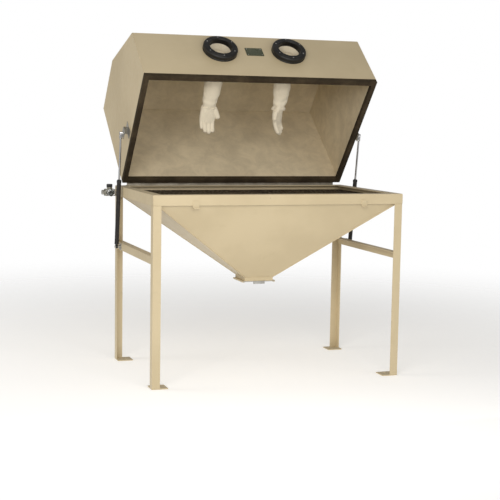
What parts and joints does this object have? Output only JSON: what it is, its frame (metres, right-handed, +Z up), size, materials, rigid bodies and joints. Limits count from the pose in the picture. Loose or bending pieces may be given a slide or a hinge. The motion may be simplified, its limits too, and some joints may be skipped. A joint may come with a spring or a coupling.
{
  "type": "sandblast cabinet",
  "caption": "Top-opening blast cabinet: hinged lid with arm ports, gloves, window and light over a hopper on an angle-iron stand.",
  "frame": {"origin": "on the floor, under the middle of the machine's box with its lid open", "axes": "+Z up, +X to the right of someone facing the arm ports, front towards -Y"},
  "size_m": [1.406, 1.1932, 1.6821],
  "materials": {
    "painted": "sprayed beige enamel, semi-gloss",
    "grate_steel": "dull, blast-worn",
    "zinc_steel": "zinc plated",
    "pin_steel": "plain",
    "strut_black": "satin black",
    "rod_chrome": "polished",
    "seal_rubber": "closed-cell sponge, dark brown",
    "port_rubber": "moulded, satin black",
    "window_glass": "clear sheet",
    "lamp_white": "white enamel",
    "lamp_glass": "frosted tube",
    "glove_fabric": "cream rubberised cotton",
    "plate_green": "dark olive, blank",
    "cast_zinc": "die-cast, olive grey",
    "gauge_black": "black steel case",
    "black_plastic": "moulded",
    "box_grey": "grey hammer finish",
    "gun_alloy": "cast and machined",
    "ceramic": "sintered ceramic, off-white",
    "trigger_steel": "plain"
  },
  "bodies": {
    "stand": {"leg_front_left": "painted", "leg_front_right": "painted", "leg_rear_left": "painted", "leg_rear_right": "painted", "foot_plates": "painted", "side_braces": "painted", "rim_front": "painted", "rim_rear": "painted", "rim_left": "painted", "rim_right": "painted", "hopper_front": "painted", "hopper_rear": "painted", "hopper_left": "painted", "hopper_right": "painted", "grate_ledges": "painted", "work_grate_left": "grate_steel", "work_grate_right": "grate_steel", "outlet_collar": "painted", "hinge_leaf_rim": "zinc_steel", "hinge_pin": "pin_steel", "pickup_tube": "zinc_steel", "dust_spigot": "painted", "regulator_body": "cast_zinc", "regulator_gauge": "gauge_black", "front_lugs": "painted", "switch_box": "box_grey", "strut_feet": "zinc_steel"},
    "lid": {"lid_side_left": "painted", "lid_side_right": "painted", "lid_rear": "painted", "lid_top": "painted", "lid_window_panel": "painted", "lid_front": "painted", "lid_seal": "seal_rubber", "hinge_leaf_lid": "zinc_steel", "window_gasket": "seal_rubber", "window_glass": "window_glass", "window_frame": "painted", "frame_screws": "zinc_steel", "light_housing": "lamp_white", "lamp_tube": "lamp_glass", "port_ring_left": "port_rubber", "port_ring_right": "port_rubber", "glove_clamps": "zinc_steel", "glove_left": "glove_fabric", "glove_right": "glove_fabric", "nameplate": "plate_green", "strut_brackets": "zinc_steel", "gun_clip": "zinc_steel", "gun_body": "gun_alloy", "gun_nozzle": "ceramic"},
    "gate": {"slide_gate": "zinc_steel"},
    "knob": {"regulator_knob": "black_plastic"},
    "rocker": {"light_switch": "black_plastic"},
    "strut_left": {"strut_tube_left": "strut_black"},
    "strut_right": {"strut_tube_right": "strut_black"},
    "rod_left": {"strut_rod_left": "rod_chrome"},
    "rod_right": {"strut_rod_right": "rod_chrome"},
    "trigger": {"gun_trigger": "trigger_steel"}
  },
  "joints": [
    {"name": "lid_hinge", "type": "hinge", "parent": "stand", "child": "lid", "pos_m": [0, 0.15643, 0.938], "axis": [1, 0, 0], "range_deg": [0, 50]},
    {"name": "strut_left_tilt", "type": "hinge", "parent": "stand", "child": "strut_left", "pos_m": [-0.653, 0.07043, 0.605], "axis": [1, 0, 0], "range_deg": [-0.5, 22.82]},
    {"name": "rod_left_slide", "type": "slide", "parent": "strut_left", "child": "rod_left", "axis": [0, -0.1426, 0.9898], "range_m": [-0.1677, 0.001]},
    {"name": "strut_right_tilt", "type": "hinge", "parent": "stand", "child": "strut_right", "pos_m": [0.653, 0.07043, 0.605], "axis": [1, 0, 0], "range_deg": [-0.5, 22.82]},
    {"name": "rod_right_slide", "type": "slide", "parent": "strut_right", "child": "rod_right", "axis": [0, -0.1426, 0.9898], "range_m": [-0.1677, 0.001]},
    {"name": "gate_slide", "type": "slide", "parent": "stand", "child": "gate", "axis": [0, -1, 0], "range_m": [0, 0.15]},
    {"name": "regulator_turn", "type": "hinge", "parent": "stand", "child": "knob", "pos_m": [-0.672, 0.15643, 0.893], "axis": [0, 0, 1], "range_deg": [-270, 270]},
    {"name": "switch_rock", "type": "hinge", "parent": "stand", "child": "rocker", "pos_m": [0.666, 0.11743, 0.798], "axis": [1, 0, 0], "range_deg": [-16, 0]},
    {"name": "trigger_pull", "type": "hinge", "parent": "lid", "child": "trigger", "pos_m": [-0.572, 0.28067, 1.37644], "axis": [1, 0, 0], "range_deg": [0, 12], "stiffness_Nm_per_rad": 0.3, "springref_deg": -5.73}
  ],
  "couplings": [
    {"joint": "strut_left_tilt", "follows": "lid_hinge", "ratio": 0.44647},
    {"joint": "rod_left_slide", "follows": "lid_hinge", "m_per_rad": -0.19105},
    {"joint": "strut_right_tilt", "follows": "lid_hinge", "ratio": 0.44647},
    {"joint": "rod_right_slide", "follows": "lid_hinge", "m_per_rad": -0.19105}
  ]
}
